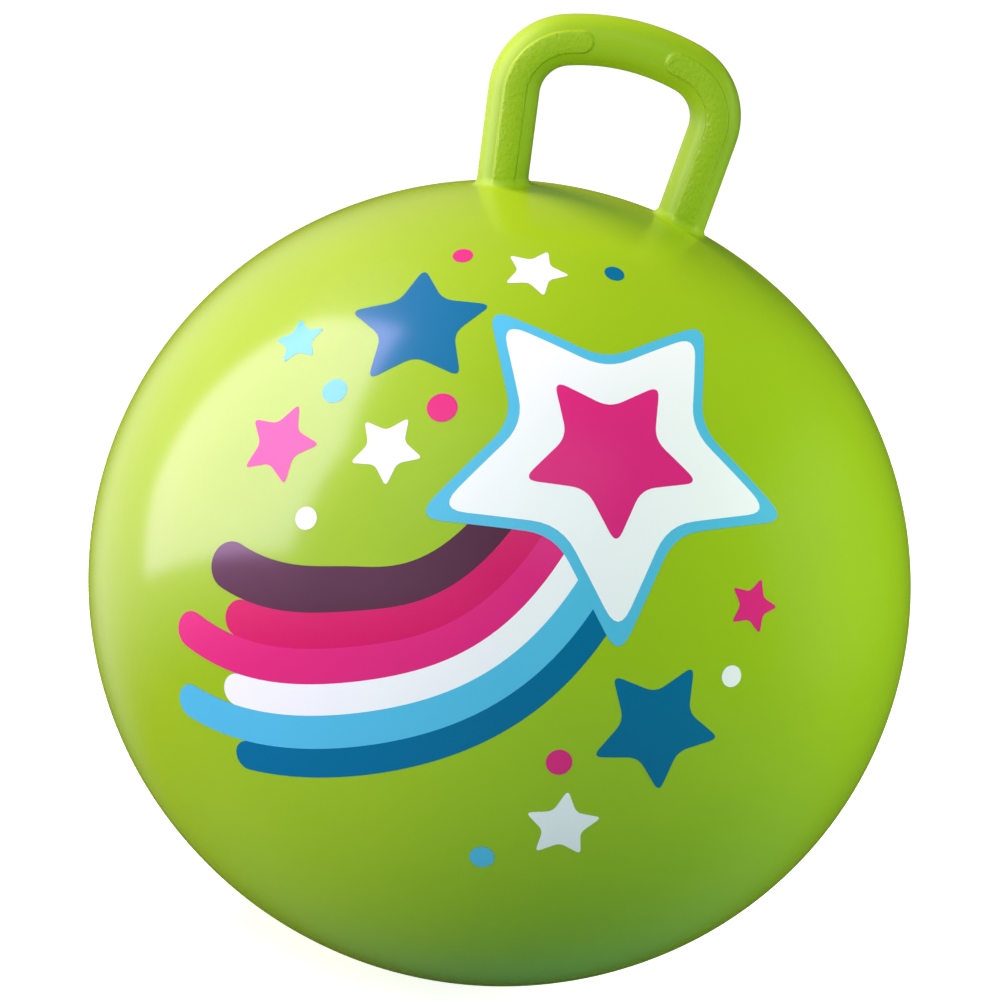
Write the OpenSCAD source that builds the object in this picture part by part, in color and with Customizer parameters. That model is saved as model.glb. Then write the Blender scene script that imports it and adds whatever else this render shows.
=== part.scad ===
// Hopper ball: an inflated vinyl ball with a moulded loop handle and a plugged valve at the back.
// Millimetres, +Z up along the handle's axis, origin on the floor under the middle of the ball.

/* [Ball] */
// Diameter of the inflated ball at its equator
ball_d = 450; // [380:1:550]
// Height of the inflated ball from pole to pole, before its weight flattens the foot
ball_h = 440; // [370:1:540]
// Thickness of the inflated vinyl skin
skin_t = 1.3; // [0.8:0.1:3]
// Diameter of the patch that the ball's own weight presses flat on the floor
foot_d = 52; // [30:1:80]

/* [Handle] */
// Diameter of the handle's bar and legs
bar_d = 27.5; // [22:0.5:32]
// Overall width of the handle across its corners
handle_w = 137; // [120:1:170]
// Height of the handle above the top of the ball
handle_rise = 96; // [80:1:120]
// Bend radius of the corners, at the middle of the bar
corner_r = 30; // [24:1:36]
// Radius of the arched top bar, at the middle of the bar
crown_r = 120; // [95:1:220]
// How far the legs lean outwards, in degrees
leg_lean = 6; // [0:0.5:11]
// Thickness of the hollow handle's wall
handle_wall = 3.5; // [2:0.1:6]
// Radius of the fillet where a leg grows out of the ball
root_fillet_r = 5; // [3:0.5:9]

/* [Grip pads] */
// Width of a raised grip pad
pad_w = 12; // [7:0.5:16]
// How far a pad stands out of the bar
pad_rise = 0.6; // [0.3:0.1:1.2]
// Bare stretch of the top bar between the round ends of the pads
pad_gap = 40; // [20:1:50]

/* [Valve] */
// Height of the valve above the equator, in degrees round the back of the ball
valve_angle = 25; // [0:1:40]
// Diameter of the bore that holds the plug
bore_d = 8; // [6:0.5:10]
// Length of the seat's inner tube, from the outside of the ball
seat_l = 14; // [11:0.5:20]
// Wall of the seat round the bore and round the plug's head
seat_wall = 3; // [2:0.5:5]
// Diameter of the flange that bonds the seat to the inside of the skin
flange_d = 34; // [30:1:44]
// Thickness of that flange
flange_t = 2; // [1.5:0.5:4]

/* [Plug] */
// Diameter of the plug's head
head_d = 15; // [13:0.5:18]
// Thickness of the plug's head
head_t = 2.4; // [1.8:0.2:4]
// Length of the plug's stem below the head
stem_l = 17; // [14:0.5:22]
// Radial room between the plug's head and its well, for a fingernail
nail_gap = 1; // [0.5:0.1:2]
// Radial clearance of the plug's sealing beads in the bore
plug_clearance = 0.05; // [0.02:0.01:0.1]
// How far the sealing beads stand out of the stem
bead_rise = 0.4; // [0.2:0.1:0.6]

/* [Hidden] */
$fn = 96;
ball_fn = 360;

vinyl_green = "#98C41C";
valve_green = "#7FAE1E";
plug_white = "#F2F2EC";

// The ball's profile is an oval of arcs: two polar arcs and one side arc, tangent at 45 degrees.
arc_join = 45;
// The side arc's sector laps the polar ones by this angle, so that the outline has no seam
arc_lap = 0.01;
side_slope = tan(arc_join + arc_lap);
side_in = (ball_d - ball_h) / 2 / (tan(arc_join) + 1 - 1 / cos(arc_join));
side_r = ball_d / 2 - side_in;
pole_drop = side_in * tan(arc_join);
pole_r = ball_h / 2 + pole_drop;
// Height of the ball's centre over the floor, once the foot is pressed flat
centre_z = sqrt(pow(pole_r, 2) - pow(foot_d / 2, 2)) - pole_drop;

// The handle's centreline, right-hand half, measured from the ball's centre:
// a crown arc, a corner arc tangent to it and a straight leg tangent to the corner.
bar_r = bar_d / 2;
crown_z = ball_h / 2 + handle_rise - bar_r - crown_r;
corner_x = handle_w / 2 - bar_r - corner_r;
corner_z = crown_z + sqrt(pow(crown_r - corner_r, 2) - pow(corner_x, 2));
crown_angle = asin(corner_x / (crown_r - corner_r));
leg_top = [corner_x + corner_r * cos(leg_lean), corner_z - corner_r * sin(leg_lean)];
leg_dir = [-sin(leg_lean), -cos(leg_lean)];
// Where the leg's middle meets the polar arc, and the ball's normal there
pole_to_leg = leg_top + [0, pole_drop];
leg_run = -pole_to_leg * leg_dir;
leg_l = leg_run - sqrt(pow(leg_run, 2) - pole_to_leg * pole_to_leg + pow(pole_r, 2));
root = leg_top + leg_l * leg_dir;
root_lean = atan2(root[0], root[1] + pole_drop);
// The leg runs this far on into the ball, past the curve of the skin, before it is trimmed
root_overrun = bar_d;

// The fillet is turned about the ball's normal; it starts this far inside the leaning leg's surface
fillet_start_r = bar_r - root_fillet_r * tan(abs(root_lean - leg_lean)) / 2;
fillet_mid_r = fillet_start_r + root_fillet_r;
fillet_mid_z = sqrt(pow(pole_r + root_fillet_r, 2) - pow(fillet_mid_r, 2)) - pole_r;

// The fillet's rim stops just short of where it would run out to nothing on the ball
fillet_edge = 0.6;
fillet_rim_r = fillet_mid_r * pole_r / (pole_r + root_fillet_r) - fillet_edge;

// How far the handle's stretches lap, and how much slimmer one is than the next
joint_lap = 0.3;
joint_step = 0.02;
lap_angle = asin(joint_lap / crown_r);
// The middle of a pad's round end, which never leaves the crown
pad_end_angle = min(asin((pad_gap + pad_w) / 2 / crown_r), crown_angle - lap_angle);

// Depths below the outside of the ball, along the valve's axis
well_d = head_d + 2 * nail_gap;
neck_d = well_d + 2 * seat_wall;
tube_d = bore_d + 2 * seat_wall;
head_sink = 0.4;
well_depth = head_t + head_sink;
bead_r = bore_d / 2 - plug_clearance;
stem_r = bead_r - bead_rise;
bead_count = 3;
bead_pitch = (seat_l - well_depth) / (bead_count + 1);
nose_l = stem_r;
nose_r = stem_r * 0.6;

// Half of the ball's profile, taken in by inset all round
module ball_profile(inset) {
    reach = ball_d + ball_h;
    difference() {
        intersection() {
            union() {
                for (end = [0, 1]) mirror([0, end]) intersection() {
                    translate([0, -pole_drop]) circle(r = pole_r - inset);
                    translate([side_in, 0]) rotate(arc_join) translate([-reach, 0]) square([2 * reach, reach]);
                    square(reach);
                }
                intersection() {
                    translate([side_in, 0]) circle(r = side_r - inset);
                    translate([side_in, 0]) polygon(reach * [[0, 0], [1, -side_slope], [1, side_slope]]);
                }
            }
            translate([0, -reach]) square([reach, 2 * reach]);
        }
        translate([0, -centre_z + inset - reach]) square([reach, reach]);
    }
}

// The ball as a full solid, taken in by inset all round
module ball_solid(inset = 0) {
    translate([0, 0, centre_z]) rotate_extrude($fn = ball_fn) ball_profile(inset, $fn = ball_fn);
}

// The handle's centreline in three stretches, for any section. They lap a little, and the crown
// and the legs are a hair slimmer than the corners, so that no two of their faces coincide.
module crown_sweep(from_angle, to_angle) {
    translate([0, 0, crown_z]) rotate([90, 0, 0]) rotate(90 - to_angle)
        rotate_extrude(angle = to_angle - from_angle) translate([crown_r, 0]) children();
}

module corner_sweep() {
    translate([corner_x, 0, corner_z]) rotate([90, 0, 0]) rotate(-leg_lean)
        rotate_extrude(angle = 90 - crown_angle + leg_lean) translate([corner_r, 0]) children();
}

module leg_sweep() {
    translate([leg_top[0], 0, leg_top[1]]) rotate([0, leg_lean, 0])
        translate([0, 0, -leg_l - root_overrun]) linear_extrude(leg_l + root_overrun + joint_lap) children();
}

// The right-hand child and its mirror image
module both_sides() {
    for (side = [0, 1]) mirror([side, 0, 0]) children();
}

// A round bar along the whole handle, from inside the ball at one root to the other
module bar(r) {
    crown_sweep(-crown_angle - lap_angle, crown_angle + lap_angle) circle(r = r - joint_step);
    both_sides() {
        corner_sweep() circle(r = r);
        leg_sweep() circle(r = r - joint_step);
    }
}

// Section of the raised pads on the front and back of the bar
module pad_section(slimmer) {
    intersection() {
        circle(r = bar_r + pad_rise - slimmer);
        square([pad_w - 2 * slimmer, 2 * bar_d], center = true);
    }
}

// Pads from the roots round the corners to a round end on each side of the bare stretch
module grip_pads() {
    both_sides() {
        crown_sweep(pad_end_angle, crown_angle + lap_angle) pad_section(joint_step);
        corner_sweep() pad_section(0);
        leg_sweep() pad_section(joint_step);
        intersection() {
            crown_sweep(0, crown_angle) circle(r = bar_r + pad_rise - 2 * joint_step);
            translate([0, 0, crown_z]) rotate([0, pad_end_angle, 0]) translate([0, 0, crown_r])
                rotate([90, 0, 0]) cylinder(d = pad_w - 4 * joint_step, h = 2 * bar_d, center = true);
        }
    }
}

// Concave fillet round the foot of each leg, turned about the ball's normal there
module root_fillets() {
    both_sides() translate([root[0], 0, root[1]]) rotate([0, root_lean, 0])
        rotate_extrude() difference() {
            translate([0, -root_fillet_r]) square([fillet_rim_r, root_fillet_r + fillet_mid_z]);
            translate([fillet_mid_r, fillet_mid_z]) circle(r = root_fillet_r);
        }
}

// Places a child on the outside of the ball at the valve, with +Z out along the ball's normal
module at_valve() {
    translate([0, 0, centre_z]) translate([0, side_in, 0]) rotate([valve_angle - 90, 0, 0])
        translate([0, 0, side_r]) children();
}

module ball_shell() {
    color(vinyl_green) difference() {
        ball_solid();
        ball_solid(skin_t);
        translate([0, 0, centre_z]) both_sides() leg_sweep() circle(r = bar_r - handle_wall - joint_step);
        at_valve() translate([0, 0, -seat_l]) cylinder(d = neck_d, h = 2 * seat_l);
    }
}

module handle() {
    color(vinyl_green) difference() {
        translate([0, 0, centre_z]) union() {
            bar(bar_r);
            grip_pads();
            root_fillets();
        }
        ball_solid();
        translate([0, 0, centre_z]) bar(bar_r - handle_wall);
    }
}

module valve_seat() {
    color(valve_green) difference() {
        union() {
            intersection() {
                ball_solid();
                at_valve() translate([0, 0, -well_depth - seat_wall])
                    cylinder(d = neck_d, h = 2 * (well_depth + seat_wall));
            }
            intersection() {
                ball_solid(skin_t);
                at_valve() translate([0, 0, -skin_t - flange_t]) cylinder(d = flange_d, h = 2 * flange_t);
            }
            at_valve() translate([0, 0, -seat_l]) cylinder(d = tube_d, h = seat_l - well_depth);
        }
        at_valve() translate([0, 0, -well_depth]) cylinder(d = well_d, h = 2 * well_depth);
        at_valve() translate([0, 0, -2 * seat_l]) cylinder(d = bore_d, h = 2 * seat_l);
    }
}

module valve_plug() {
    color(plug_white) at_valve() translate([0, 0, -well_depth]) {
        cylinder(d = head_d, h = head_t);
        translate([0, 0, -stem_l + nose_l]) cylinder(r = stem_r, h = stem_l - nose_l);
        translate([0, 0, -stem_l]) cylinder(r1 = nose_r, r2 = stem_r, h = nose_l);
        for (i = [1:bead_count]) translate([0, 0, -i * bead_pitch])
            rotate_extrude() translate([bead_r - 2 * bead_rise, 0]) circle(r = 2 * bead_rise);
    }
}

ball_shell();
handle();
valve_seat();
valve_plug();
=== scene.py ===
# A hopper ball on a pale studio floor: a blown vinyl ball with a moulded loop handle, a printed front
# and a plugged valve at the back. Metres, +Z up along the handle, the printed front towards -Y.
import math

import bpy
import numpy as np
from mathutils import Matrix, Vector
from mathutils.geometry import delaunay_2d_cdt


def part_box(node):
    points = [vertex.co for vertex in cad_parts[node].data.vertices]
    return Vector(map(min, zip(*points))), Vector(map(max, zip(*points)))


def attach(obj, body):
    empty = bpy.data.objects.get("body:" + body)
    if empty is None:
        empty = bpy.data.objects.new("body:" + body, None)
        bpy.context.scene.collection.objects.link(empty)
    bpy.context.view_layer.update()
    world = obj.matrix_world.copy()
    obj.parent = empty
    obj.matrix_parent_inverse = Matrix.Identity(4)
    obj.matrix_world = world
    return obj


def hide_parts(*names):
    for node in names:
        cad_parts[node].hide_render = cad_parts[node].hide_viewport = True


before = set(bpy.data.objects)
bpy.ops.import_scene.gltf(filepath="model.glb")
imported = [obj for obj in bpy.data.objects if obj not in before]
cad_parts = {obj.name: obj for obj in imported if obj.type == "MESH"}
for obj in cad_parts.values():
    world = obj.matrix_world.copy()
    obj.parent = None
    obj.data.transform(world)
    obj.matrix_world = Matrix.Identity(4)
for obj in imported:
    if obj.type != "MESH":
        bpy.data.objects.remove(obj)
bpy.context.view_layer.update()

# Ball
# One hollow skin of soft vinyl, turned in a hot mould and then blown up through its valve until it is
# taut. It is a little flatter at the poles, and its weight presses a small foot on the floor.
MM = 0.001
BALL_D = 450 * MM
BALL_H = 440 * MM
SKIN_T = 1.3 * MM
FOOT_BLEND = 0.6 * MM
VALVE_ANGLE = math.radians(25)
NECK_R = 11.5 * MM
VINYL_GREEN = ("#A1C51D", "#99BF1B")

# The profile is an oval of two polar arcs and a side arc, tangent at 45 degrees
SIDE_IN = (BALL_D - BALL_H) / 2 / (2 - math.sqrt(2))
SIDE_R = BALL_D / 2 - SIDE_IN
POLE_R = BALL_H / 2 + SIDE_IN
ball_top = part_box("ball_shell")[1].z
BALL_CENTRE = np.array((0, 0, ball_top - BALL_H / 2))
VALVE_AXIS = np.array((0, math.cos(VALVE_ANGLE), math.sin(VALVE_ANGLE)))
VALVE_ACROSS = np.array((1.0, 0, 0))
VALVE_UP = np.cross(VALVE_ACROSS, VALVE_AXIS)
VALVE_MIDDLE = BALL_CENTRE + np.array((0, SIDE_IN, 0))


def from_ball(points):
    """Distance of each point from the ball's skin, and the skin's outward normal there."""
    p = np.asarray(points, float) - BALL_CENTRE
    ring = np.hypot(p[:, 0], p[:, 1])
    rise = np.abs(p[:, 2])
    polar = rise > ring - SIDE_IN
    out = np.stack([ring - np.where(polar, 0, SIDE_IN), rise + np.where(polar, SIDE_IN, 0)], 1)
    reach = np.linalg.norm(out, axis=1)
    out /= reach[:, None]
    flat = out[:, :1] * p[:, :2] / np.maximum(ring, 1e-9)[:, None]
    normal = np.column_stack([flat, out[:, 1] * np.sign(p[:, 2])])
    return reach - np.where(polar, POLE_R, SIDE_R), normal


def on_ball(points, lift=0.0):
    """The points moved along the ball's normal to lift above its skin, and the normals."""
    gap, normal = from_ball(points)
    return np.asarray(points) + normal * (lift - gap)[:, None], normal


def grid_faces(rows, columns, first=0):
    """Quads of a grid of points that closes on itself along each row."""
    quads = []
    for row in range(rows - 1):
        start = first + row * columns
        for column in range(columns):
            after = (column + 1) % columns
            quads.append((start + column, start + after, start + columns + after, start + columns + column))
    return quads


def add_object(name, data):
    """Puts a mesh, lamp or camera into the scene."""
    made = bpy.data.objects.new(name, data)
    bpy.context.scene.collection.objects.link(made)
    return made


def add_piece(name, points, faces, body, material, normals=None):
    """A smooth mesh piece that rides on a body of the frame."""
    mesh = bpy.data.meshes.new(name)
    mesh.from_pydata([tuple(p) for p in points], [], faces)
    mesh.validate()
    mesh.shade_smooth()
    if normals is not None:
        mesh.normals_split_custom_set_from_vertices([tuple(n) for n in normals])
    mesh.materials.append(material)
    piece = add_object(name, mesh)
    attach(piece, body)
    return piece


def mark_points(mesh, name, values):
    """Gives each point of a mesh a number that its material reads."""
    mesh.attributes.new(name, "FLOAT", "POINT").data.foreach_set("value", np.asarray(values, np.float32))


def eased(share):
    """A share held between 0 and 1, with a soft start and end."""
    share = np.clip(share, 0, 1)
    return share * share * (3 - 2 * share)


def linear(hex_colour):
    """A linear colour from an sRGB hex value."""
    parts = [int(hex_colour[i:i + 2], 16) / 255 for i in (1, 3, 5)]
    return (*[c / 12.92 if c <= 0.04045 else ((c + 0.055) / 1.055) ** 2.4 for c in parts], 1)


def add_node(tree, kind, values=None, links=None, **properties):
    """Adds a shader node with its properties and socket values, fed by other nodes' outputs."""
    made = tree.nodes.new("ShaderNode" + kind)
    for name, value in properties.items():
        setattr(made, name, value)
    for socket, value in (values or {}).items():
        made.inputs[socket].default_value = value
    for socket, source in (links or {}).items():
        tree.links.new(source, made.inputs[socket])
    return made


def new_material(name):
    """An empty material and its node tree."""
    material = bpy.data.materials.new(name)
    material.use_nodes = True
    material.node_tree.nodes.clear()
    return material, material.node_tree


# Glossy moulded PVC: the mould is polished, so the skin has a clear sheen over a saturated pigment,
# a faint orange peel, and hazier smears where it has been handled. Near the top, where the handle's
# blasted part of the mould begins, the gloss turns to satin.
VINYL_IOR = 1.53
GLOSS_ROUGH = (0.15, 0.2)
SATIN_ROUGH = 0.065
SATIN_FROM = 395 * MM
SATIN_TO = 440 * MM
PEEL_SIZE = 14 * MM
PEEL_DEPTH = 0.02 * MM
CLOUD_SIZE = 60 * MM
SMEAR_SIZE = 35 * MM


def cloudy_pigment(tree, place, colour, cloud):
    """A colour that drifts a little towards another, as pigment does in moulded vinyl."""
    clouds = add_node(tree, "TexNoise", {"Scale": 1 / CLOUD_SIZE, "Detail": 3}, {"Vector": place})
    tint = add_node(tree, "Mix", {"A": linear(colour), "B": linear(cloud)},
                    {"Factor": clouds.outputs["Fac"]}, data_type="RGBA")
    return tint.outputs["Result"]


def glossy_vinyl(name, colour, cloud):
    """Vinyl with the gloss of the polished mould, or ink that lies on it."""
    material, tree = new_material(name)
    place = add_node(tree, "TexCoord").outputs["Object"]
    smears = add_node(tree, "TexNoise", {"Scale": 1 / SMEAR_SIZE, "Detail": 6, "Roughness": 0.6},
                      {"Vector": place})
    gloss = add_node(tree, "MapRange", {"To Min": GLOSS_ROUGH[0], "To Max": GLOSS_ROUGH[1]},
                     {"Value": smears.outputs["Fac"]})
    satin = add_node(tree, "Attribute", attribute_name="satin")
    rough = add_node(tree, "Math", {}, {0: gloss.outputs["Result"], 1: satin.outputs["Fac"]}, operation="ADD")
    peel = add_node(tree, "TexNoise", {"Scale": 1 / PEEL_SIZE, "Detail": 1}, {"Vector": place})
    skin = add_node(tree, "Bump", {"Strength": 1, "Distance": PEEL_DEPTH}, {"Height": peel.outputs["Fac"]})
    shader = add_node(tree, "BsdfPrincipled", {"IOR": VINYL_IOR},
                      {"Base Color": cloudy_pigment(tree, place, colour, cloud),
                       "Roughness": rough.outputs["Value"], "Normal": skin.outputs["Normal"]})
    add_node(tree, "OutputMaterial", {}, {"Surface": shader.outputs["BSDF"]})
    return material


# The skin is a grid of rings round the valve, whose hole is the first ring, with a coarser inner face
RINGS = 230
INNER_RINGS = 60
SPOKES = 360


def ball_rings(count, inset):
    """Points and normals of the skin, at a depth under its outside, with one point at the far pole."""
    tilt = np.linspace(math.asin(NECK_R / SIDE_R), math.pi, count + 1)[:-1, None]
    turn = np.linspace(0, 2 * math.pi, SPOKES, endpoint=False)[None, :]
    along, across, up = np.cos(tilt) + 0 * turn, np.sin(tilt) * np.cos(turn), np.sin(tilt) * np.sin(turn)
    way = along[..., None] * VALVE_AXIS + across[..., None] * VALVE_ACROSS + up[..., None] * VALVE_UP
    points = VALVE_MIDDLE + SIDE_R * way.reshape(-1, 3)
    points = np.vstack([points, VALVE_MIDDLE - SIDE_R * VALVE_AXIS])
    points, normal = on_ball(points, -inset)
    # The foot: whatever is under the floor rises to it, in a soft roll
    depth = points[:, 2] - inset
    root = np.hypot(depth, FOOT_BLEND)
    points[:, 2] = inset + (depth + root) / 2
    normal[:, 2] /= (1 + depth / root) / 2
    return points, normal / np.linalg.norm(normal, axis=1)[:, None]


def close_pole(count, first):
    """Triangles from the last ring to the far pole."""
    last = first + (count - 1) * SPOKES
    return [(last + i, last + (i + 1) % SPOKES, first + count * SPOKES) for i in range(SPOKES)]


outer, outer_normal = ball_rings(RINGS, 0.0)
inner, inner_normal = ball_rings(INNER_RINGS, SKIN_T)
inner_first = len(outer)
outer_faces = grid_faces(RINGS, SPOKES) + close_pole(RINGS, 0)
inner_faces = grid_faces(INNER_RINGS, SPOKES, inner_first) + close_pole(INNER_RINGS, inner_first)
rim_faces = [(inner_first + i, inner_first + (i + 1) % SPOKES, (i + 1) % SPOKES, i) for i in range(SPOKES)]
ball_vinyl = glossy_vinyl("glossy_moulded_pvc_green", *VINYL_GREEN)
ball = add_piece("ball_skin", np.vstack([outer, inner]),
                 outer_faces + [f[::-1] for f in inner_faces] + rim_faces, "ball", ball_vinyl,
                 np.vstack([outer_normal, -inner_normal]))
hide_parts("ball_shell")
skin_height = np.append(outer[:, 2], inner[:, 2])
mark_points(ball.data, "satin", SATIN_ROUGH * eased((skin_height - SATIN_FROM) / (SATIN_TO - SATIN_FROM)))

# Print
# Screen-printed vinyl inks on the front of the ball, laid down one colour over another, with the same
# gloss as the skin and faint changes of density: a shooting star with a banded tail, small stars and dots.
PRINT_TURN = math.radians(-8.5)
PRINT_RISE = math.radians(16.5)
INK_T = 0.12 * MM
INK_STEP = 0.06 * MM
INK_SINK = 0.06 * MM
# The artwork is drawn flat, in millimetres; these are the steps of its mesh and its least distances
INK_GRID = 5.0
INK_EDGE = 2.5
INK_MARGIN = INK_GRID / 3
INK_WELD = 1e-5
# The triangulation's mode that keeps only what lies inside the outline
KEEP_INSIDE = 1


def facing(turn, rise):
    """The ways out, right and up of something turned and raised by two angles from facing the front."""
    out = np.array((math.sin(turn) * math.cos(rise), -math.cos(turn) * math.cos(rise), math.sin(rise)))
    right = np.array((math.cos(turn), math.sin(turn), 0))
    return out, right, np.cross(out, right)


print_out, print_right, print_up = facing(PRINT_TURN, PRINT_RISE)


def on_print(flat, lift):
    """Points of the flat artwork, in millimetres about its middle, wrapped on the ball."""
    flat = np.asarray(flat, float) * MM
    reach = np.linalg.norm(flat, axis=1)
    angle = reach / (BALL_D / 2)
    spread = np.where(reach > 0, np.sin(angle) / np.maximum(reach, 1e-12), 0)[:, None] * flat
    way = np.cos(angle)[:, None] * print_out + spread[:, :1] * print_right + spread[:, 1:] * print_up
    return on_ball(BALL_CENTRE + way * BALL_D / 2, lift)


def inside(outline, points):
    """Which points lie inside a closed outline."""
    ahead = np.roll(outline, -1, axis=0)
    found = np.zeros(len(points), bool)
    for (x0, y0), (x1, y1) in zip(outline, ahead):
        spans = (y0 > points[:, 1]) != (y1 > points[:, 1])
        if spans.any():
            found ^= spans & (points[:, 0] < (x1 - x0) * (points[:, 1] - y0) / (y1 - y0 + 1e-30) + x0)
    return found


def ink_patch(name, outline, layer, material):
    """A film of ink with a flat outline in millimetres, as a thin closed shell on the skin."""
    line = []
    for here, there in zip(outline, np.roll(outline, -1, 0)):
        parts = max(1, math.ceil(np.linalg.norm(there - here) / INK_EDGE))
        line.extend(here + (there - here) * i / parts for i in range(parts))
    outline = np.array(line)
    low, high = outline.min(0), outline.max(0)
    across = [np.arange(low[i] + INK_GRID / 2, high[i], INK_GRID) for i in (0, 1)]
    filling = np.stack(np.meshgrid(*across), -1).reshape(-1, 2)
    filling = filling[inside(outline, filling)]
    if len(filling):
        nearest = np.linalg.norm(filling[:, None] - outline[None], axis=2).min(1)
        filling = filling[nearest > INK_MARGIN]
    flat = [Vector(p) for p in np.vstack([outline, filling])]
    made = delaunay_2d_cdt(flat, [], [list(range(len(outline)))], KEEP_INSIDE, INK_WELD)
    flat, faces = np.array([tuple(p) for p in made[0]]), [tuple(f) for f in made[2]]
    edges = dict.fromkeys(edge for face in faces for edge in zip(face, face[1:] + face[:1]))
    rim = [(a, b) for a, b in edges if (b, a) not in edges]
    top, top_normal = on_print(flat, INK_T + layer * INK_STEP)
    under, _ = on_print(flat, -INK_SINK)
    count = len(flat)
    shell = faces + [tuple(v + count for v in f[::-1]) for f in faces]
    shell += [(b, a, a + count, b + count) for a, b in rim]
    add_piece(name, np.vstack([top, under]), shell, "ball", material,
              np.vstack([top_normal, top_normal]))


def rounded(corners, radius, steps=7):
    """A closed outline with each corner turned into a curve that starts radius before it."""
    corners = np.asarray(corners, float)
    line = []
    for before, corner, after in zip(np.roll(corners, 1, 0), corners, np.roll(corners, -1, 0)):
        start = corner + (before - corner) * min(0.5, radius / np.linalg.norm(before - corner))
        end = corner + (after - corner) * min(0.5, radius / np.linalg.norm(after - corner))
        for t in np.linspace(0, 1, steps):
            line.append((1 - t) ** 2 * start + 2 * t * (1 - t) * corner + t ** 2 * end)
    return np.array(line)


# Shares of a star's reach: its waist between two points, and how far a point's round goes
STAR_WAIST = 0.5
STAR_ROUND = 0.16
STAR_POINTS = 5
DOT_SIDES = 48


def star(middle, reach, turn, grow=0.0):
    """A five-pointed star with soft points; grow widens it all round, for a border."""
    step = math.pi / STAR_POINTS
    waist_along, waist_across = STAR_WAIST * math.cos(step), STAR_WAIST * math.sin(step)
    point_reach = reach + grow / (waist_across / math.hypot(1 - waist_along, waist_across))
    corners = []
    for i in range(2 * STAR_POINTS):
        far = point_reach if i % 2 == 0 else STAR_WAIST * point_reach
        angle = math.radians(turn) + math.pi * i / STAR_POINTS
        corners.append((middle[0] + far * math.sin(angle), middle[1] + far * math.cos(angle)))
    return rounded(corners[::-1], STAR_ROUND * reach)


def dot(middle, radius):
    """A round spot."""
    turn = np.linspace(0, 2 * math.pi, DOT_SIDES, endpoint=False)
    return np.stack([middle[0] + radius * np.cos(turn), middle[1] + radius * np.sin(turn)], 1)


ink_white = glossy_vinyl("screen_ink_white", "#FBFCFA", "#F6F8F5")
ink_sky = glossy_vinyl("screen_ink_sky_blue", "#58C2E2", "#52BCDD")
ink_blue = glossy_vinyl("screen_ink_blue", "#01719A", "#016B94")
ink_pink = glossy_vinyl("screen_ink_pink", "#E52C80", "#DF287A")
ink_deep_pink = glossy_vinyl("screen_ink_deep_pink", "#D91A66", "#D31862")
ink_maroon = glossy_vinyl("screen_ink_maroon", "#562940", "#50263C")

STAR_MIDDLE = (52, 66)
STAR_REACH = 94
STAR_TURN = 20
STAR_BORDER = 5.5
STAR_HEART = 0.52
# The tail swings down from the star and away to the left; a band lies between two offsets across it
TAIL_LINE = (STAR_MIDDLE, (20, -124), (-150, -80))
TAIL_SPREAD = (0.58, 0.95)
TAIL_WAVE = 7
TAIL_HALF_WAVES = 2.6
TAIL_STEPS = 46
TAIL_END_STEPS = 16


def tail_band(inner_edge, outer_edge, length):
    """One band of the tail between two offsets from its middle line, with a round end."""
    a, b, c = (np.array(p, float) for p in TAIL_LINE)

    def edge(t, offset):
        middle = (1 - t) ** 2 * a + 2 * t * (1 - t) * b + t ** 2 * c
        way = (1 - t) * (b - a) + t * (c - b)
        side = np.array((-way[1], way[0])) / np.linalg.norm(way)
        spread = TAIL_SPREAD[0] + (TAIL_SPREAD[1] - TAIL_SPREAD[0]) * t
        return middle + side * (offset * spread + TAIL_WAVE * math.sin(TAIL_HALF_WAVES * math.pi * t) * t)

    steps = np.linspace(0, length, TAIL_STEPS)
    near, far = [edge(t, inner_edge) for t in steps], [edge(t, outer_edge) for t in steps]
    middle, half = (near[-1] + far[-1]) / 2, (far[-1] - near[-1]) / 2
    ahead = np.array((half[1], -half[0]))
    ahead *= np.sign(np.dot(ahead, near[-1] - near[-2]))
    end_turn = np.linspace(0, math.pi, TAIL_END_STEPS)[1:-1]
    end = [middle - half * math.cos(u) + ahead * math.sin(u) for u in end_turn]
    return np.array(near + end + far[::-1])[::-1]


# Each band's colour, the two offsets of its edges, and the share of the tail that it runs along
TAIL_BANDS = [("blue", 46, 66, 0.84, ink_blue), ("sky", 24, 46, 0.96, ink_sky),
              ("white", 4, 24, 0.88, ink_white), ("pink", -18, 4, 1.0, ink_pink),
              ("deep_pink", -40, -18, 0.91, ink_deep_pink), ("maroon", -68, -40, 0.97, ink_maroon)]
for colour, low_edge, high_edge, length, ink in TAIL_BANDS:
    ink_patch("print_tail_" + colour, tail_band(low_edge, high_edge, length), 0, ink)
ink_patch("print_star_border", star(STAR_MIDDLE, STAR_REACH, STAR_TURN, STAR_BORDER), 1, ink_sky)
ink_patch("print_star", star(STAR_MIDDLE, STAR_REACH, STAR_TURN), 2, ink_white)
ink_patch("print_star_heart", star(STAR_MIDDLE, STAR_REACH * STAR_HEART, STAR_TURN), 3, ink_pink)

# Each small star's letter, middle, reach and turn in degrees
SMALL_STARS = [("a", (-66, 112), 42, -14, ink_blue), ("b", (-120, 30), 24, 10, ink_pink),
               ("c", (-14, 166), 20, 8, ink_white), ("d", (112, -66), 38, 16, ink_blue),
               ("e", (78, -132), 22, -8, ink_white), ("f", (-60, 38), 20, 20, ink_white),
               ("g", (-132, 92), 16, -20, ink_sky), ("h", (148, 10), 16, 5, ink_pink)]
for letter, middle, reach, turn, ink in SMALL_STARS:
    ink_patch("print_small_star_" + letter, star(middle, reach, turn), 0, ink)
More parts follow.
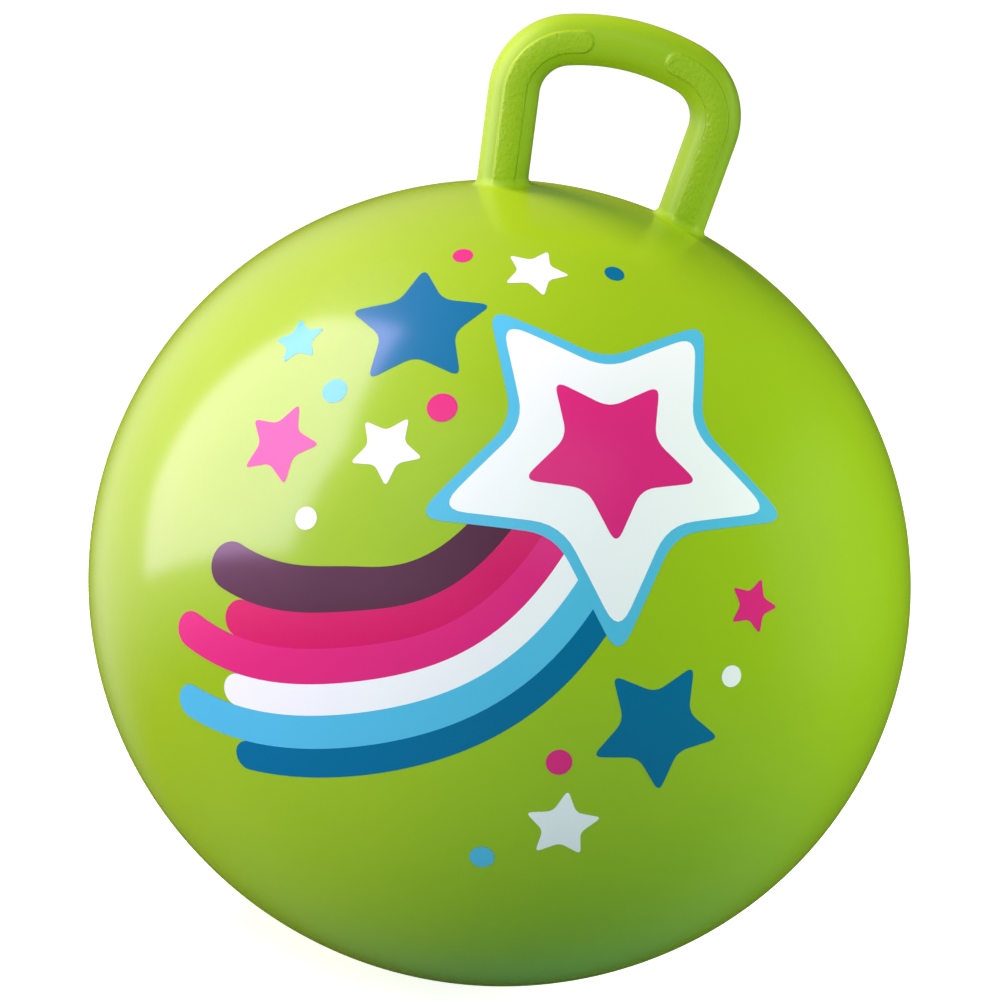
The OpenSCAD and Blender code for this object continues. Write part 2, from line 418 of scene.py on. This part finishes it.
# Each dot's middle and radius
DOTS = [((-98, 64), 7, ink_sky), ((-38, 66), 8, ink_pink), ((-92, -6), 6, ink_white),
        ((66, -96), 7, ink_pink), ((40, -162), 7, ink_sky), ((146, -30), 6, ink_white),
        ((-58, 168), 6, ink_pink), ((30, 182), 6, ink_blue)]
for number, (middle, radius, ink) in enumerate(DOTS):
    ink_patch(f"print_dot_{number}", dot(middle, radius), 0, ink)

# Handle
# A hollow loop, moulded in one with the ball: an arched bar on two legs that lean outwards. Raised pads
# with a leather grain run up the legs and round the bends, front and back, and stop short of the middle.
BAR_R = 13.75 * MM
HANDLE_W = 137 * MM
CORNER_R = 30 * MM
CROWN_R = 120 * MM
LEG_LEAN = math.radians(6)
PAD_W = 12 * MM
PAD_RISE = 0.8 * MM
PAD_BEVEL = 1.5 * MM
PAD_GAP = 40 * MM
ROOT_ROUND_FRONT = 6.5 * MM
ROOT_ROUND_SIDE = 4.5 * MM
ROOT_SINK = 0.1 * MM
RING_STEP = 0.8 * MM
AROUND = 240
ROOT_RINGS = 14
handle_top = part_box("handle")[1].z
crown_z = handle_top - BAR_R - CROWN_R
corner_x = HANDLE_W / 2 - BAR_R - CORNER_R
corner_z = crown_z + math.sqrt((CROWN_R - CORNER_R) ** 2 - corner_x ** 2)
crown_angle = math.asin(corner_x / (CROWN_R - CORNER_R))
crown_length = CROWN_R * crown_angle
corner_length = CORNER_R * (math.pi / 2 - crown_angle + LEG_LEAN)
leg_top = np.array((corner_x + CORNER_R * math.cos(LEG_LEAN), 0, corner_z - CORNER_R * math.sin(LEG_LEAN)))
leg_up = np.array((math.sin(LEG_LEAN), 0, math.cos(LEG_LEAN)))
leg_out = np.array((math.cos(LEG_LEAN), 0, -math.sin(LEG_LEAN)))
pad_end = CROWN_R * math.asin((PAD_GAP + PAD_W) / 2 / CROWN_R)

front = np.array((0, -1, 0))
turn = np.linspace(0, 2 * math.pi, AROUND, endpoint=False)
side_way, front_way = np.cos(turn), np.sin(turn)
# Distance round the bar from the middle of the nearer pad
pad_across = BAR_R * np.abs(np.arcsin(np.clip(side_way, -1, 1)))


def pad_height(distance):
    """How far the pads stand out, round the bar, at a distance from the middle of the handle."""
    short = max(0.0, pad_end - distance)
    depth = (PAD_W + PAD_BEVEL) / 2 - np.hypot(pad_across, short)
    return eased(depth / PAD_BEVEL)


# The right half of the bar, ring by ring: the crown and then the bend
rings, pads = [], []
crown = (0.0, crown_length, CROWN_R, np.array((0, 0, crown_z)), 0.0)
corner = (crown_length, corner_length, CORNER_R, np.array((corner_x, 0, corner_z)), crown_angle)
for start, length, bend_r, bend_middle, first_angle in (crown, corner):
    for distance in np.arange(0, length, RING_STEP):
        a = first_angle + distance / bend_r
        out = np.array((math.sin(a), 0, math.cos(a)))
        way = side_way[:, None] * out + front_way[:, None] * front
        pad = pad_height(start + distance)
        rings.append(bend_middle + bend_r * out + (BAR_R + PAD_RISE * pad)[:, None] * way)
        pads.append(pad)
roots = [np.zeros(AROUND) for _ in rings]

# Each line down the leg slides on until it meets the ball; a round of its own radius leads from the leg
# to the skin
SLIDES = 12
way = side_way[:, None] * leg_out + front_way[:, None] * front
leg_start = leg_top + BAR_R * way
leg_foot = leg_start - leg_up * (leg_top[2] - BALL_CENTRE[2] - BALL_H / 2)
for _ in range(SLIDES):
    gap, normal = from_ball(leg_foot)
    leg_foot = leg_foot - leg_up * (gap / (normal @ leg_up))[:, None]
normal = from_ball(leg_foot)[1]
away = way - (way * normal).sum(1)[:, None] * normal
away /= np.linalg.norm(away, axis=1)[:, None]
half_bend = np.arccos(np.clip(away @ leg_up, -1, 1)) / 2
root_round = ROOT_ROUND_SIDE + (ROOT_ROUND_FRONT - ROOT_ROUND_SIDE) * front_way ** 2
run = (root_round / np.tan(half_bend))[:, None]
leg_end = leg_foot + leg_up * run
skin_end = leg_foot + away * run
skin_drop = on_ball(skin_end)[0] - skin_end
leg_length = (leg_top - leg_end) @ leg_up
leg_pad = pad_height(crown_length + corner_length)
for share in np.linspace(0, 1, int(leg_length.max() / RING_STEP)):
    rings.append(leg_start + (leg_end - leg_start) * share + PAD_RISE * leg_pad[:, None] * way)
    pads.append(leg_pad)
    roots.append(np.zeros(AROUND))
# With this weight the curve of the root is a circular arc
weight = np.sin(half_bend)[:, None]
for t in np.linspace(0, 1, ROOT_RINGS + 1)[1:]:
    total = (1 - t) ** 2 + 2 * t * (1 - t) * weight + t ** 2
    curve = ((1 - t) ** 2 * leg_end + 2 * t * (1 - t) * weight * leg_foot + t ** 2 * skin_end) / total
    pad = leg_pad * (1 - t) ** 2
    rings.append(curve + t ** 2 * skin_drop + PAD_RISE * pad[:, None] * way)
    pads.append(pad)
    roots.append(np.full(AROUND, t))
rings.append(on_ball(skin_end + away * ROOT_SINK * 2, -ROOT_SINK)[0])
pads.append(np.zeros(AROUND))
roots.append(np.ones(AROUND))

# The left half mirrors the right one, and each end closes on a point under the skin
flip = np.array((-1, 1, 1))
all_rings = [ring * flip for ring in rings[:0:-1]] + rings
all_pads = pads[:0:-1] + pads
all_roots = roots[:0:-1] + roots
ends = [ring.mean(0) for ring in (all_rings[0], all_rings[-1])]
# At the roots the shading runs over into the ball's between two shares of the round, so no seam shows
SKIN_SHADE = (0.6, 0.9)
grid = np.array(all_rings)
across = np.cross(np.roll(grid, -1, 1) - np.roll(grid, 1, 1), np.gradient(grid, axis=0))
across /= np.linalg.norm(across, axis=2)[..., None]
for row in range(len(grid)):
    to_skin = np.clip((all_roots[row] - SKIN_SHADE[0]) / (SKIN_SHADE[1] - SKIN_SHADE[0]), 0, 1)[:, None]
    across[row] += (from_ball(grid[row])[1] - across[row]) * to_skin
    across[row] /= np.linalg.norm(across[row], axis=1)[:, None]
handle_normals = np.vstack([across.reshape(-1, 3), from_ball(ends)[1]])
handle_points = np.vstack(all_rings + [np.array(ends)])
last_ring = (len(all_rings) - 1) * AROUND
tip = len(all_rings) * AROUND
handle_faces = grid_faces(len(all_rings), AROUND)
handle_faces += [((i + 1) % AROUND, i, tip) for i in range(AROUND)]
handle_faces += [(last_ring + i, last_ring + (i + 1) % AROUND, tip + 1) for i in range(AROUND)]

# Satin moulded PVC: the handle's part of the mould is blasted, so the gloss is broad and soft, and turns
# to the ball's within the round of the roots. The pads carry a leather grain, drawn at its real size of
# about two millimetres, and deeper than it is so that it shows.
SATIN_SHEEN = 0.38
HANDLE_ROUGH = 0.4
ROOT_ROUGH = 0.235
ROOT_GLOSS = (0.3, 0.6)
GRAIN_SIZE = 2.2 * MM
GRAIN_DEPTH = 0.9 * MM
BLAST_SIZE = 0.5 * MM
BLAST_DEPTH = 0.01 * MM


def satin_vinyl(name, colour, cloud):
    """Vinyl from a blasted mould, with grain where a piece is marked as pad."""
    material, tree = new_material(name)
    place = add_node(tree, "TexCoord").outputs["Object"]
    pad = add_node(tree, "Attribute", attribute_name="pad").outputs["Fac"]
    root = add_node(tree, "Attribute", attribute_name="root").outputs["Fac"]
    leather = add_node(tree, "TexNoise", {"Scale": 1 / GRAIN_SIZE, "Detail": 2.5, "Roughness": 0.55},
                       {"Vector": place})
    on_pad = add_node(tree, "Math", {}, {0: leather.outputs["Fac"], 1: pad}, operation="MULTIPLY")
    blast = add_node(tree, "TexNoise", {"Scale": 1 / BLAST_SIZE, "Detail": 2}, {"Vector": place})
    fine = add_node(tree, "Bump", {"Strength": 0.6, "Distance": BLAST_DEPTH},
                    {"Height": blast.outputs["Fac"]})
    rough = add_node(tree, "Bump", {"Strength": 1, "Distance": GRAIN_DEPTH},
                     {"Height": on_pad.outputs["Value"], "Normal": fine.outputs["Normal"]})
    shine = add_node(tree, "MapRange", {"From Min": ROOT_GLOSS[0], "From Max": ROOT_GLOSS[1],
                                        "To Min": HANDLE_ROUGH, "To Max": ROOT_ROUGH},
                     {"Value": root}, interpolation_type="SMOOTHSTEP")
    shader = add_node(tree, "BsdfPrincipled", {"IOR": VINYL_IOR, "Specular IOR Level": SATIN_SHEEN},
                      {"Base Color": cloudy_pigment(tree, place, colour, cloud),
                       "Roughness": shine.outputs["Result"], "Normal": rough.outputs["Normal"]})
    add_node(tree, "OutputMaterial", {}, {"Surface": shader.outputs["BSDF"]})
    return material


handle_vinyl = satin_vinyl("satin_moulded_pvc_green", *VINYL_GREEN)
handle = add_piece("handle_loop", handle_points, handle_faces, "ball", handle_vinyl,
                   handle_normals)
mark_points(handle.data, "pad", np.concatenate(all_pads + [np.zeros(len(ends))]))
mark_points(handle.data, "root", np.concatenate(all_roots + [np.ones(len(ends))]))
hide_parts("handle")

# Valve seat
# A soft vinyl insert bonded to the inside of the skin at the back. Its neck comes up flush with the
# ball round a well for the plug's head, and its tube holds the plug.
SEAT_GREEN = ("#7FAE1E", "#78A81C")
VALVE_AROUND = 144
VALVE_TOP = VALVE_MIDDLE + SIDE_R * VALVE_AXIS
# Radii, and heights along the valve's axis, in millimetres from the outside of the ball
BORE_R, TUBE_R, WELL_R, SEAT_NECK_R, FLANGE_R = 4, 7, 8.5, 11.45, 17
TUBE_END, NECK_END, WELL_FLOOR = -14, -5.8, -2.8
RIM_INSIDE, RIM_OUTSIDE = -0.16, -0.3
FLANGE_AT_NECK, FLANGE_AT_EDGE, FLANGE_UNDER = -1.64, -1.99, -3.3
SEAT_EDGE = 0.35
SEAT_EDGE_STEPS = 5
SEAT_PROFILE = [(BORE_R, TUBE_END), (BORE_R, WELL_FLOOR), (WELL_R, WELL_FLOOR), (WELL_R, RIM_INSIDE),
                (SEAT_NECK_R, RIM_OUTSIDE), (SEAT_NECK_R, FLANGE_AT_NECK), (FLANGE_R, FLANGE_AT_EDGE),
                (FLANGE_R, FLANGE_UNDER), (SEAT_NECK_R, FLANGE_UNDER), (SEAT_NECK_R, NECK_END),
                (TUBE_R, NECK_END), (TUBE_R, TUBE_END)]


def turned(profile):
    """Rings of points for a profile of radius and height turned about the valve's axis."""
    profile = np.asarray(profile, float) * MM
    turn = np.linspace(0, 2 * math.pi, VALVE_AROUND, endpoint=False)
    way = np.cos(turn)[:, None] * VALVE_ACROSS + np.sin(turn)[:, None] * VALVE_UP
    return np.vstack([VALVE_TOP + height * VALVE_AXIS + radius * way for radius, height in profile])


seat_line = rounded(SEAT_PROFILE, SEAT_EDGE, SEAT_EDGE_STEPS)
seat_points = turned(seat_line)
# The profile is closed, so the last ring leads back to the first
seat_faces = [tuple(v % len(seat_points) for v in face)
              for face in grid_faces(len(seat_line) + 1, VALVE_AROUND)]
seat_vinyl = satin_vinyl("satin_moulded_pvc_dark_green", *SEAT_GREEN)
seat = add_piece("valve_seat_turned", seat_points, seat_faces, "ball", seat_vinyl)
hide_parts("valve_seat")

# Valve plug
# A push-in stopper of white polythene: a flat head that a fingernail can lift, a stem with three
# sealing beads and a tapered nose. A small dimple in the head is left by the moulding gate.
PLUG_WHITE = "#C9CAC2"
PLUG_EDGE = 0.3
HEAD_R, HEAD_TOP, HEAD_UNDER = 7.5, -0.4, -2.8
GATE_R, GATE_FLOOR_R, GATE_DEPTH = 1.3, 1.0, 0.15
STEM_R, BEAD_R, BEAD_PITCH = 3.55, 3.95, 2.8
NOSE_R, NOSE_START, PLUG_END = 2.13, -16.25, -19.8
BEADS = 3
BEAD_STEPS = 9
# The rounds of the head's two edges, as distances in from its side and from its top or underside
HEAD_ROUND = ((0.9, 0), (0.3, 0.12), (0.08, 0.4), (0, 0.8))
UNDER_ROUND = ((0, 0.4), (0.12, 0.12), (0.4, 0))
gate_floor = HEAD_TOP - GATE_DEPTH
plug_line = [(GATE_FLOOR_R, gate_floor), (GATE_R, HEAD_TOP)]
plug_line += [(HEAD_R - side, HEAD_TOP - down) for side, down in HEAD_ROUND]
plug_line += [(HEAD_R - side, HEAD_UNDER + up) for side, up in UNDER_ROUND]
plug_line += [(STEM_R + PLUG_EDGE, HEAD_UNDER), (STEM_R, HEAD_UNDER - PLUG_EDGE)]
bead_round = 2 * (BEAD_R - STEM_R)
bead_turn = math.acos((STEM_R - BEAD_R + bead_round) / bead_round)
for bead in range(1, BEADS + 1):
    for a in np.linspace(bead_turn, -bead_turn, BEAD_STEPS):
        plug_line.append((BEAD_R - bead_round + bead_round * math.cos(a),
                          HEAD_UNDER - bead * BEAD_PITCH + bead_round * math.sin(a)))
plug_line += [(STEM_R, NOSE_START), (NOSE_R + PLUG_EDGE, PLUG_END + PLUG_EDGE * 2),
              (NOSE_R, PLUG_END + PLUG_EDGE), (NOSE_R - PLUG_EDGE, PLUG_END)]
plug_points = np.vstack([turned(plug_line), VALVE_TOP + gate_floor * MM * VALVE_AXIS,
                         VALVE_TOP + PLUG_END * MM * VALVE_AXIS])
plug_faces = grid_faces(len(plug_line), VALVE_AROUND)
plug_last, plug_tip = (len(plug_line) - 1) * VALVE_AROUND, len(plug_line) * VALVE_AROUND
for i in range(VALVE_AROUND):
    after = (i + 1) % VALVE_AROUND
    plug_faces += [(after, i, plug_tip), (plug_last + i, plug_last + after, plug_tip + 1)]

# White moulded polythene: waxy, with a soft uneven shine, and slightly see-through, so that light spreads
# under its surface
POLYTHENE_IOR = 1.51
WAX_SIZE = 3 * MM
WAX_ROUGH = (0.36, 0.5)
SPREAD_SHARE = 0.3
SPREAD_DEPTH = 0.8 * MM


def waxy_polythene(name, colour):
    """Polythene straight from the mould."""
    material, tree = new_material(name)
    place = add_node(tree, "TexCoord").outputs["Object"]
    wax = add_node(tree, "TexNoise", {"Scale": 1 / WAX_SIZE, "Detail": 4}, {"Vector": place})
    shine = add_node(tree, "MapRange", {"To Min": WAX_ROUGH[0], "To Max": WAX_ROUGH[1]},
                     {"Value": wax.outputs["Fac"]})
    shader = add_node(tree, "BsdfPrincipled",
                      {"Base Color": linear(colour), "IOR": POLYTHENE_IOR, "Subsurface Weight": SPREAD_SHARE,
                       "Subsurface Scale": SPREAD_DEPTH},
                      {"Roughness": shine.outputs["Result"]})
    add_node(tree, "OutputMaterial", {}, {"Surface": shader.outputs["BSDF"]})
    return material


plug = add_piece("valve_plug_turned", plug_points, plug_faces, "plug",
                 waxy_polythene("white_polythene", PLUG_WHITE))
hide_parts("valve_plug")

# Studio
# A pale floor that runs out of sight, a large softbox on the left that shows as the highlight, five soft
# lamps round the ball and a black flag beside the handle. The camera is tilted, so the handle leans right.
FLOOR_REACH = 30.0
FLOOR_WHITE = "#EDEDED"
FLOOR_BOUNCE = "#8EACB1"
# The floor glows less near the ball, where it keeps the ball's shadow
SHADOW_REACH = (0.45, 0.8)
SHADOW_GLOW = 0.85


def seen_by_camera(tree):
    """1 for rays from the camera, straight or through something clear, and 0 for all others."""
    path = add_node(tree, "LightPath")
    straight, through = path.outputs["Is Camera Ray"], path.outputs["Is Transmission Ray"]
    seen = add_node(tree, "Math", {}, {0: straight, 1: through}, operation="MAXIMUM")
    return seen.outputs["Value"]


def add_sheet(name, corners, material):
    """One flat face with a material."""
    mesh = bpy.data.meshes.new(name)
    mesh.from_pydata(corners, [], [tuple(range(len(corners)))])
    mesh.materials.append(material)
    return add_object(name, mesh)


# Matt floor paint: white to the camera, and greyer as a source of bounced light
paint, tree = new_material("matt_white_floor_paint")
spot = add_node(tree, "VectorMath", {}, {0: add_node(tree, "TexCoord").outputs["Object"]}, operation="LENGTH")
far = add_node(tree, "MapRange", {"From Min": SHADOW_REACH[0], "From Max": SHADOW_REACH[1],
                                  "To Min": SHADOW_GLOW, "To Max": 1},
               {"Value": spot.outputs["Value"]}, interpolation_type="SMOOTHSTEP")
shade = add_node(tree, "BsdfDiffuse", {"Color": linear(FLOOR_WHITE)})
dim = add_node(tree, "BsdfDiffuse", {"Color": linear(FLOOR_BOUNCE)})
glow = add_node(tree, "Emission", {"Color": (1, 1, 1, 1)}, {"Strength": far.outputs["Result"]})
bright = add_node(tree, "AddShader", {}, {0: shade.outputs["BSDF"], 1: glow.outputs["Emission"]})
both = add_node(tree, "MixShader", {}, {"Fac": seen_by_camera(tree), 1: dim.outputs["BSDF"],
                                        2: bright.outputs["Shader"]})
add_node(tree, "OutputMaterial", {}, {"Surface": both.outputs["Shader"]})
paint.cycles.emission_sampling = "NONE"
floor_corners = [(x * FLOOR_REACH, y * FLOOR_REACH, 0) for x, y in ((-1, -1), (1, -1), (1, 1), (-1, 1))]
floor = add_sheet("studio_floor", floor_corners, paint)
floor.visible_shadow = False
floor.visible_glossy = False

# The camera: about 2.2 m from the ball, a little above its equator and to its left, rolled over. Its lens
# and aim put the ball at its size and place in the picture, given in pixels.
CAMERA_REACH = 2.2
CAMERA_TURN = math.radians(-5)
CAMERA_RISE = math.radians(13)
CAMERA_ROLL = math.radians(13.6)
FRAME_PX = 1000
BALL_PX = (499.6, 581.7)
BALL_RADIUS_PX = 411.8
SENSOR = 36.0
focal_px = BALL_RADIUS_PX * math.sqrt(CAMERA_REACH ** 2 - (BALL_D / 2) ** 2) / (BALL_D / 2)
back_way, right_way, up_way = (Vector(way) for way in facing(CAMERA_TURN, CAMERA_RISE))
roll_right = right_way * math.cos(CAMERA_ROLL) + up_way * math.sin(CAMERA_ROLL)
roll_up = up_way * math.cos(CAMERA_ROLL) - right_way * math.sin(CAMERA_ROLL)


def from_camera(right, up, back):
    """A way or a distance given as the camera's right, up and back."""
    return roll_right * right + roll_up * up + back_way * back


centre = Vector(BALL_CENTRE)
camera_at = centre + back_way * CAMERA_REACH
aim = from_camera(FRAME_PX / 2 - BALL_PX[0], BALL_PX[1] - FRAME_PX / 2, -focal_px).normalized()
aim_right = aim.cross(roll_up).normalized()
aim_up = aim_right.cross(aim)
camera_data = bpy.data.cameras.new("photo_camera")
camera_data.sensor_width = SENSOR
camera_data.lens = focal_px * SENSOR / FRAME_PX
camera = add_object("photo_camera", camera_data)
camera.matrix_world = Matrix.Translation(camera_at) @ Matrix((aim_right, aim_up, -aim)).transposed().to_4x4()
bpy.context.scene.camera = camera

# The air: white to the camera, a weak even light on the object, and a room in the skin's gloss, which is
# white on the upper left, grey below and dark elsewhere
AIR_LIGHT = 0.15
ROOM_WHITE = (0.87, 0.75, 1.02, 1)
ROOM_GREY = (0.05, 0.17, 0.19, 1)
ROOM_DARK = (0.04, 0.045, 0.02, 1)
# Where each side of the room starts and where it is full, along its own direction
LEFT_SIDE = (-0.35, 0.7)
UPPER_SIDE = (-0.35, 0.05)
NEAR_SIDE = (-0.98, -0.8)
LOWER_SIDE = (0.25, 0.7)
world = bpy.data.worlds.new("studio_air")
bpy.context.scene.world = world
world.use_nodes = True
world.cycles.sampling_method = "NONE"
tree = world.node_tree
tree.nodes.clear()
toward = add_node(tree, "TexCoord").outputs["Generated"]


def room_side(way, limits):
    """How far a direction lies towards one side of the room, from 0 to 1."""
    along = add_node(tree, "VectorMath", {1: way}, {0: toward}, operation="DOT_PRODUCT")
    side = add_node(tree, "MapRange", {"From Min": limits[0], "From Max": limits[1]},
                    {"Value": along.outputs["Value"]}, interpolation_type="SMOOTHSTEP")
    return side.outputs["Result"]


on_left, high_up = room_side(-roll_right, LEFT_SIDE), room_side(roll_up, UPPER_SIDE)
left_high = add_node(tree, "Math", {}, {0: on_left, 1: high_up}, operation="MULTIPLY")
white_wall = add_node(tree, "Math", {}, {0: left_high.outputs["Value"], 1: room_side(back_way, NEAR_SIDE)},
                      operation="MULTIPLY")
below = add_node(tree, "Mix", {"A": ROOM_DARK, "B": ROOM_GREY}, {"Factor": room_side(-roll_up, LOWER_SIDE)},
                 data_type="RGBA")
tinge = add_node(tree, "Mix", {"B": ROOM_WHITE},
                 {"Factor": white_wall.outputs["Value"], "A": below.outputs["Result"]}, data_type="RGBA")
air = add_node(tree, "Background", {"Color": (1, 1, 1, 1), "Strength": AIR_LIGHT})
gloss = add_node(tree, "Background", {"Strength": 1}, {"Color": tinge.outputs["Result"]})
back = add_node(tree, "Background", {"Color": (1, 1, 1, 1), "Strength": 1})
in_gloss = add_node(tree, "LightPath").outputs["Is Glossy Ray"]
unseen = add_node(tree, "MixShader", {}, {"Fac": in_gloss, 1: air.outputs["Background"],
                                          2: gloss.outputs["Background"]})
both = add_node(tree, "MixShader", {}, {"Fac": seen_by_camera(tree), 1: unseen.outputs["Shader"],
                                        2: back.outputs["Background"]})
add_node(tree, "OutputWorld", {}, {"Surface": both.outputs["Shader"]})

# The large softbox on the left: a six-sided face of lit cloth, brighter towards its front and top, that
# shows in the gloss alone
BOX_REACH = 1.1
BOX_WAY = (-0.905, 0.424, 0.031)
BOX_CORNERS = ((0.70, -0.28), (0.74, 0.32), (0.34, 1.02), (-0.05, 0.64), (-0.33, -0.16), (-0.34, -0.46))
BOX_STRENGTH = 6.0
BOX_RAMP = (0.5, 0.15)
BOX_COLOUR = "#E7CBFF"
cloth, tree = new_material("lit_white_softbox_cloth")
glow = add_node(tree, "Attribute", attribute_name="glow")
lit = add_node(tree, "Emission", {"Color": linear(BOX_COLOUR)}, {"Strength": glow.outputs["Fac"]})
add_node(tree, "OutputMaterial", {}, {"Surface": lit.outputs["Emission"]})
box_out = from_camera(*BOX_WAY).normalized()
box_along = (back_way - box_out * back_way.dot(box_out)).normalized()
box_up = (roll_up - box_out * roll_up.dot(box_out)).normalized()
box_corners = [centre + BOX_REACH * (box_out + a * box_along + b * box_up) for a, b in BOX_CORNERS]
left_softbox = add_sheet("left_softbox", box_corners, cloth)
left_softbox.visible_diffuse = False
left_softbox.visible_shadow = False
mark_points(left_softbox.data, "glow",
            [BOX_STRENGTH * (1 + BOX_RAMP[0] * a + BOX_RAMP[1] * b) for a, b in BOX_CORNERS])

# The soft lamps: where each stands as the camera's right, up and back, its distance from the ball, its
# width and height, its power and its colour
LAMPS = [("front_fill", (0.0, 0.55, 1.0), 2.4, (2.4, 1.6), 42, (0.9, 1, 1)),
         ("top_fill", (-0.5, 1.0, -0.08), 1.7, (0.6, 0.6), 29.5, (1, 0.71, 0.93)),
         ("right_fill", (1.0, 0.05, -0.2), 1.7, (1.4, 1.4), 32, (0.93, 1, 0.83)),
         ("left_fill", (-1.0, -0.1, 0.35), 1.6, (1.1, 0.9), 15, (1, 0.68, 0.95)),
         ("left_rim", (-1.0, -0.1, -0.5), 1.6, (1.1, 0.9), 18, (1, 0.93, 0.97))]
for name, stand, reach, size, power, colour in LAMPS:
    lamp_data = bpy.data.lights.new(name, "AREA")
    lamp_data.shape = "RECTANGLE"
    lamp_data.size, lamp_data.size_y = size
    lamp_data.energy = power
    lamp_data.color = colour
    lamp = add_object(name, lamp_data)
    lamp_way = from_camera(*stand).normalized()
    lamp.location = centre + lamp_way * reach
    lamp.rotation_euler = lamp_way.to_track_quat("Z", "Y").to_euler()
    lamp.visible_glossy = False

# A black felt flag beside the handle keeps the right lamp off it; nothing but its shadow shows
FELT_BLACK = "#272727"
FLAG_RIGHT = 0.30
FLAG_UP = (0.20, 0.64)
FLAG_BACK = (-0.60, 0.10)
felt, tree = new_material("black_felt")
weave = add_node(tree, "BsdfDiffuse", {"Color": linear(FELT_BLACK)})
add_node(tree, "OutputMaterial", {}, {"Surface": weave.outputs["BSDF"]})
flag_corners = [centre + from_camera(FLAG_RIGHT, FLAG_UP[i], FLAG_BACK[j])
                for i, j in ((0, 0), (1, 0), (1, 1), (0, 1))]
flag = add_sheet("handle_flag", flag_corners, felt)
flag.visible_camera = False
flag.visible_diffuse = False
flag.visible_glossy = False
flag.visible_transmission = False

bpy.context.scene.view_settings.view_transform = "Standard"
